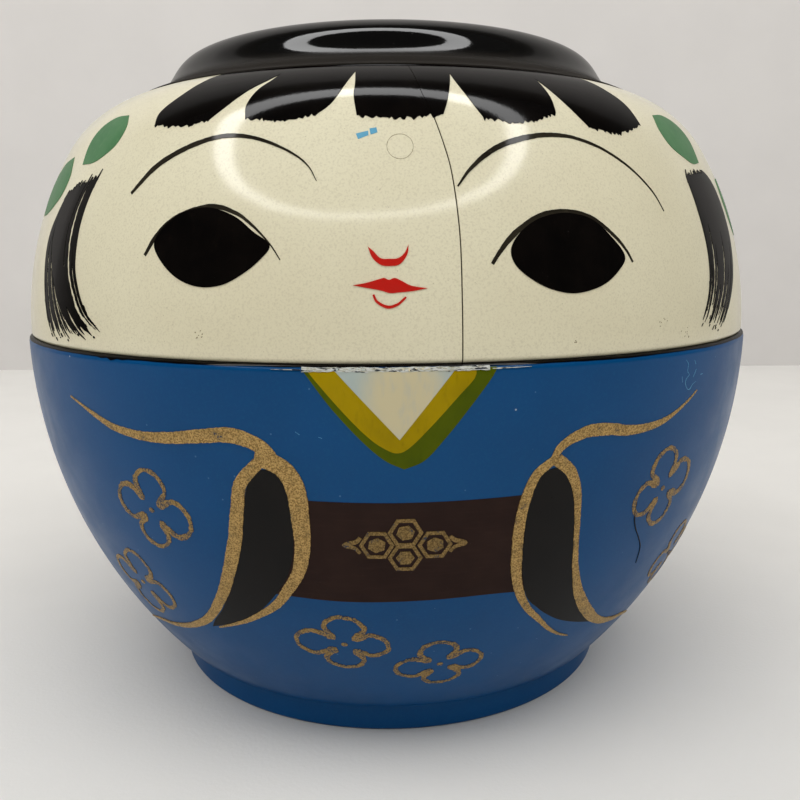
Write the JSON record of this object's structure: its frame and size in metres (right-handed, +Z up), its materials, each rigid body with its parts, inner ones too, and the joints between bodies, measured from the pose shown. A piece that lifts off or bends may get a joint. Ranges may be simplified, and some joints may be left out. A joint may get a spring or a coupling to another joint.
{
  "type": "lidded doll box",
  "caption": "Round lidded box in the shape of a kimono doll: a turned bowl and a lid painted with a face, which lifts off a raised collar.",
  "frame": {"origin": "centre of the foot ring's underside", "axes": "+Z up along the axis that all the pieces are turned about; the painted face looks toward -Y, and +X is to the right of someone who looks at the face"},
  "size_m": [0.165, 0.165, 0.1407],
  "materials": {
    "blue_lacquer": "glossy blue lacquer on turned wood",
    "cream_lacquer": "glossy cream lacquer on turned wood",
    "black_lacquer": "glossy black lacquer on turned wood",
    "black_paint": "glossy black brush paint",
    "maroon_paint": "satin maroon brush paint",
    "gold_paint": "granular gold brush paint",
    "red_paint": "glossy red brush paint",
    "green_paint": "satin green brush paint",
    "yellow_paint": "satin yellow brush paint",
    "olive_paint": "satin olive brush paint",
    "pale_paint": "satin pale brush paint"
  },
  "bodies": {
    "bowl": {"bowl": "blue_lacquer", "foot_ring": "blue_lacquer", "collar_ring": "black_lacquer"},
    "lid": {"lid": "cream_lacquer", "crown": "black_lacquer"}
  },
  "joints": [
    {"name": "lid_lift", "type": "slide", "parent": "bowl", "child": "lid", "axis": [0, 0, 1], "range_m": [0, 0.12]}
  ]
}
